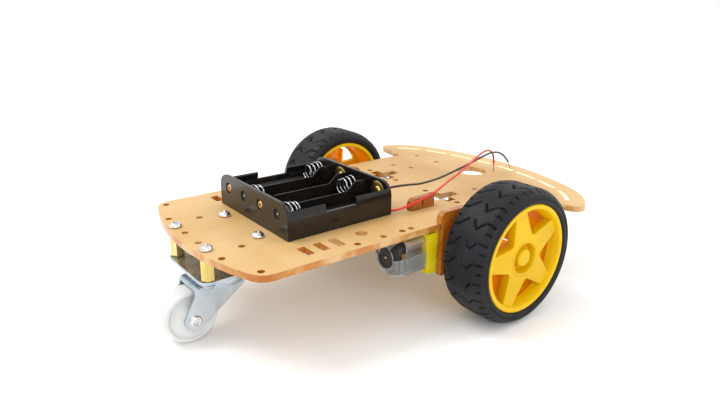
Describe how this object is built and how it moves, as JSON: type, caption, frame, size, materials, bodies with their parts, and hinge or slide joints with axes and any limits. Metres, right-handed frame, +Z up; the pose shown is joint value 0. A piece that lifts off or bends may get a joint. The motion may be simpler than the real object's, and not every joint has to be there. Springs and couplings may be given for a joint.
{
  "type": "two wheel robot car",
  "caption": "Flat acrylic robot car with a curved bumper edge, geared driving wheels, a trailing swivel caster and an open battery holder with loose leads on its deck.",
  "frame": {"origin": "on the ground, under the middle of the car's box", "axes": "+X towards the bumper edge, +Y towards the left wheel, +Z up"},
  "size_m": [0.2232, 0.165, 0.066],
  "materials": {
    "deck_acrylic": "satin film on clear amber sheet",
    "bracket_acrylic": "clear brown sheet, laser cut",
    "bright_steel": "nickel plated",
    "brass": "turned",
    "zinc_steel": "blue zinc plated",
    "motor_steel": "plain drawn steel",
    "rim_plastic": "moulded",
    "gearbox_plastic": "moulded, slightly clear",
    "tyre_rubber": "moulded tread",
    "black_plastic": "moulded",
    "holder_plastic": "moulded",
    "clear_plastic": "clear, thin",
    "white_nylon": "moulded",
    "gear_plastic": "moulded",
    "red_insulation": "soft PVC",
    "black_insulation": "soft PVC"
  },
  "bodies": {
    "chassis": {"chassis_plate": "deck_acrylic", "motor_bracket_left_outer": "bracket_acrylic", "motor_bracket_left_inner": "bracket_acrylic", "motor_bracket_right_outer": "bracket_acrylic", "motor_bracket_right_inner": "bracket_acrylic", "motor_bolt_left_upper": "bright_steel", "motor_bolt_left_lower": "bright_steel", "motor_bolt_right_upper": "bright_steel", "motor_bolt_right_lower": "bright_steel", "motor_nut_left_upper": "bright_steel", "motor_nut_left_lower": "bright_steel", "motor_nut_right_upper": "bright_steel", "motor_nut_right_lower": "bright_steel", "gearbox_case_left": "gearbox_plastic", "gearbox_cover_left": "gearbox_plastic", "gearbox_case_right": "gearbox_plastic", "gearbox_cover_right": "gearbox_plastic", "motor_can_left": "motor_steel", "motor_can_right": "motor_steel", "motor_end_cap_left": "black_plastic", "motor_end_cap_right": "black_plastic", "motor_strap_left": "clear_plastic", "motor_strap_right": "clear_plastic", "battery_spring_1": "bright_steel", "battery_spring_2": "bright_steel", "battery_spring_3": "bright_steel", "battery_spring_4": "bright_steel", "battery_holder": "holder_plastic", "battery_lead_red": "red_insulation", "battery_lead_black": "black_insulation", "caster_standoff_1": "brass", "caster_standoff_2": "brass", "caster_standoff_3": "brass", "caster_standoff_4": "brass", "deck_screw_1": "bright_steel", "deck_screw_2": "bright_steel", "deck_screw_3": "bright_steel", "deck_screw_4": "bright_steel", "caster_bolt_1": "zinc_steel", "caster_bolt_2": "zinc_steel", "caster_bolt_3": "zinc_steel", "caster_bolt_4": "zinc_steel", "caster_top_plate": "zinc_steel"},
    "wheel_left": {"wheel_rim_left": "rim_plastic", "tyre_left": "tyre_rubber", "output_shaft_left": "gear_plastic", "encoder_disc_left": "black_plastic"},
    "mid_left": {"mid_gear_left": "gear_plastic"},
    "crown_left": {"crown_gear_left": "gear_plastic"},
    "rotor_left": {"motor_rotor_left": "motor_steel"},
    "wheel_right": {"wheel_rim_right": "rim_plastic", "tyre_right": "tyre_rubber", "output_shaft_right": "gear_plastic", "encoder_disc_right": "black_plastic"},
    "mid_right": {"mid_gear_right": "gear_plastic"},
    "crown_right": {"crown_gear_right": "gear_plastic"},
    "rotor_right": {"motor_rotor_right": "motor_steel"},
    "caster_swivel": {"caster_fork": "zinc_steel", "caster_axle": "zinc_steel"},
    "caster_roller": {"caster_wheel": "white_nylon"}
  },
  "joints": [
    {"name": "wheel_spin_left", "type": "hinge", "parent": "chassis", "child": "wheel_left", "pos_m": [0.03165, 0.0413, 0.033], "axis": [0, 1, 0], "continuous": true},
    {"name": "mid_spin_left", "type": "hinge", "parent": "chassis", "child": "mid_left", "pos_m": [0.02211, 0.0413, 0.036], "axis": [0, 1, 0], "continuous": true},
    {"name": "crown_spin_left", "type": "hinge", "parent": "chassis", "child": "crown_left", "pos_m": [0.01469, 0.0413, 0.033], "axis": [0, 1, 0], "continuous": true},
    {"name": "rotor_spin_left", "type": "hinge", "parent": "chassis", "child": "rotor_left", "pos_m": [-0.00335, 0.0413, 0.033], "axis": [1, 0, 0], "continuous": true},
    {"name": "wheel_spin_right", "type": "hinge", "parent": "chassis", "child": "wheel_right", "pos_m": [0.03165, -0.0413, 0.033], "axis": [0, 1, 0], "continuous": true},
    {"name": "mid_spin_right", "type": "hinge", "parent": "chassis", "child": "mid_right", "pos_m": [0.02211, -0.0413, 0.03], "axis": [0, 1, 0], "continuous": true},
    {"name": "crown_spin_right", "type": "hinge", "parent": "chassis", "child": "crown_right", "pos_m": [0.01469, -0.0413, 0.033], "axis": [0, 1, 0], "continuous": true},
    {"name": "rotor_spin_right", "type": "hinge", "parent": "chassis", "child": "rotor_right", "pos_m": [-0.00335, -0.0413, 0.033], "axis": [1, 0, 0], "continuous": true},
    {"name": "caster_swivel", "type": "hinge", "parent": "chassis", "child": "caster_swivel", "pos_m": [-0.08295, 0, 0.027], "axis": [0, 0, 1], "continuous": true},
    {"name": "caster_wheel_spin", "type": "hinge", "parent": "caster_swivel", "child": "caster_roller", "pos_m": [-0.09915, 0, 0.0125], "axis": [0, 1, 0], "continuous": true}
  ],
  "couplings": [
    {"joint": "mid_spin_left", "follows": "wheel_spin_left", "ratio": -4},
    {"joint": "crown_spin_left", "follows": "wheel_spin_left", "ratio": 16},
    {"joint": "rotor_spin_left", "follows": "wheel_spin_left", "ratio": 48},
    {"joint": "mid_spin_right", "follows": "wheel_spin_right", "ratio": -4},
    {"joint": "crown_spin_right", "follows": "wheel_spin_right", "ratio": 16},
    {"joint": "rotor_spin_right", "follows": "wheel_spin_right", "ratio": -48}
  ]
}
